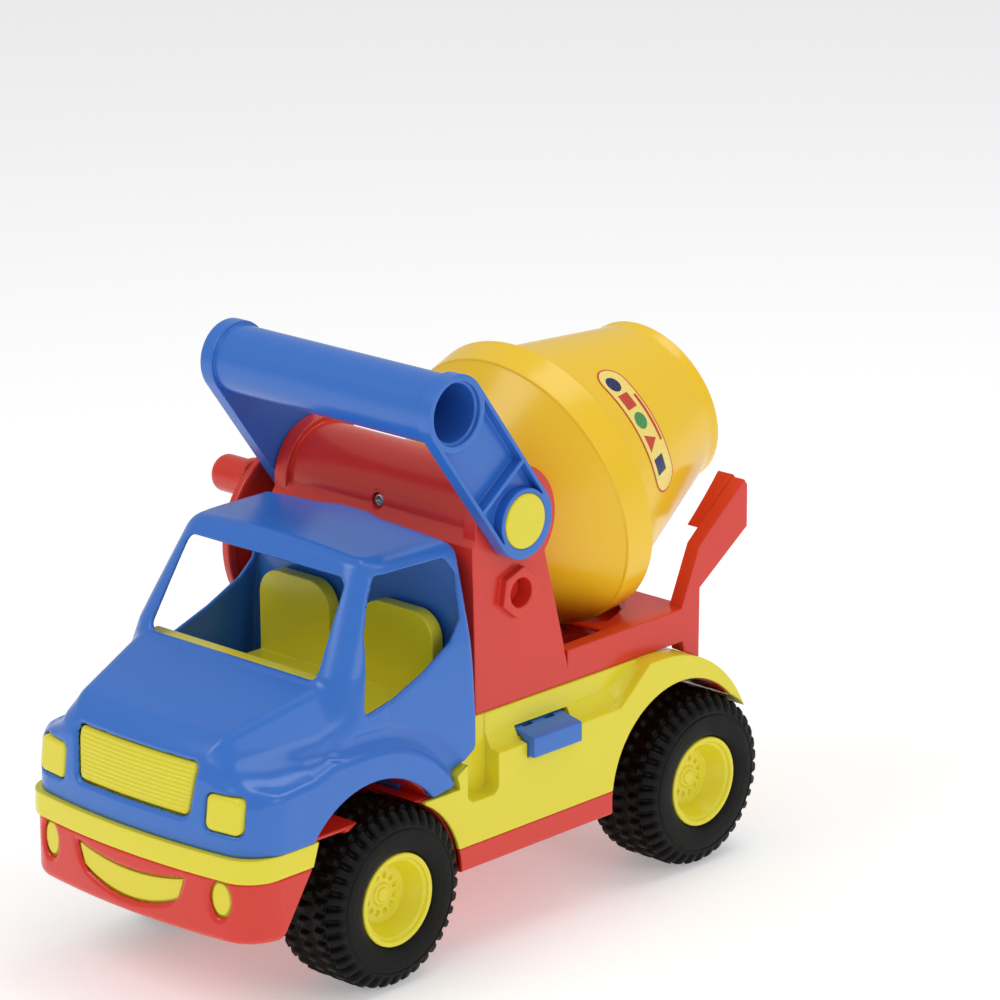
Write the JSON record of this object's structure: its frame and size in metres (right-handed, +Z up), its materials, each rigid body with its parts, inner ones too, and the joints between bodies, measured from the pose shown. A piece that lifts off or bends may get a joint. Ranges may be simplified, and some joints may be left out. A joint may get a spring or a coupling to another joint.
{
  "type": "toy cement mixer",
  "caption": "Toy lorry with an open cab, a tilted mixer drum turned by a side crank through bevel gears, a swinging carry handle and rolling wheels.",
  "frame": {"origin": "on the floor under the tyres, in the middle of the outline seen from above", "axes": "+Z up, -Y the way the lorry faces, +X its own left side; the crank is on the -X side"},
  "size_m": [0.199, 0.3902, 0.2989],
  "materials": {
    "blue_plastic": "semi-gloss moulded",
    "lemon_plastic": "semi-gloss moulded",
    "drum_plastic": "semi-gloss moulded",
    "red_plastic": "semi-gloss moulded",
    "tyre": "matte",
    "label_film": "printed film",
    "screw_steel": "zinc plated",
    "axle_steel": "drawn wire"
  },
  "bodies": {
    "chassis": {"chassis_shell": "lemon_plastic", "base_plate": "red_plastic", "bumper_insert": "lemon_plastic", "cab_shell": "blue_plastic", "grille_insert": "lemon_plastic", "cab_interior": "lemon_plastic", "mixer_frame": "red_plastic", "gearbox_bulkhead": "red_plastic", "tower_screw": "screw_steel", "base_screws": "screw_steel", "frame_screws": "screw_steel", "tool_ledge": "blue_plastic", "side_cup": "blue_plastic", "handle_pin_left": "lemon_plastic", "handle_pin_right": "lemon_plastic"},
    "handle": {"carry_handle": "blue_plastic"},
    "drum": {"drum_front": "drum_plastic", "drum_rear": "drum_plastic", "drum_gear": "red_plastic", "drum_screw": "screw_steel"},
    "crank": {"crank_disc": "red_plastic", "crank_knob": "red_plastic", "crank_label": "label_film", "crank_cap": "lemon_plastic", "crank_shaft": "red_plastic", "crank_pinion": "red_plastic"},
    "front_wheels": {"front_axle": "axle_steel", "tyre_front_left": "tyre", "rim_front_left": "lemon_plastic", "tyre_front_right": "tyre", "rim_front_right": "lemon_plastic"},
    "rear_wheels": {"rear_axle": "axle_steel", "tyre_rear_left": "tyre", "rim_rear_left": "lemon_plastic", "tyre_rear_right": "tyre", "rim_rear_right": "lemon_plastic"}
  },
  "joints": [
    {"name": "front_wheels_spin", "type": "hinge", "parent": "chassis", "child": "front_wheels", "pos_m": [0.0135, -0.0946, 0.046], "axis": [1, 0, 0], "continuous": true},
    {"name": "rear_wheels_spin", "type": "hinge", "parent": "chassis", "child": "rear_wheels", "pos_m": [0.0135, 0.1304, 0.046], "axis": [1, 0, 0], "continuous": true},
    {"name": "drum_spin", "type": "hinge", "parent": "chassis", "child": "drum", "pos_m": [0.0135, 0.0039, 0.1769], "axis": [0, 0.9673, 0.2538], "continuous": true},
    {"name": "crank_spin", "type": "hinge", "parent": "chassis", "child": "crank", "pos_m": [0.0135, 0.0039, 0.1769], "axis": [1, 0, 0], "continuous": true},
    {"name": "handle_swing", "type": "hinge", "parent": "chassis", "child": "handle", "pos_m": [0.0135, 0.0018, 0.2152], "axis": [1, 0, 0], "range_deg": [-62, 37]}
  ],
  "couplings": [
    {"joint": "crank_spin", "follows": "drum_spin", "ratio": 1}
  ]
}
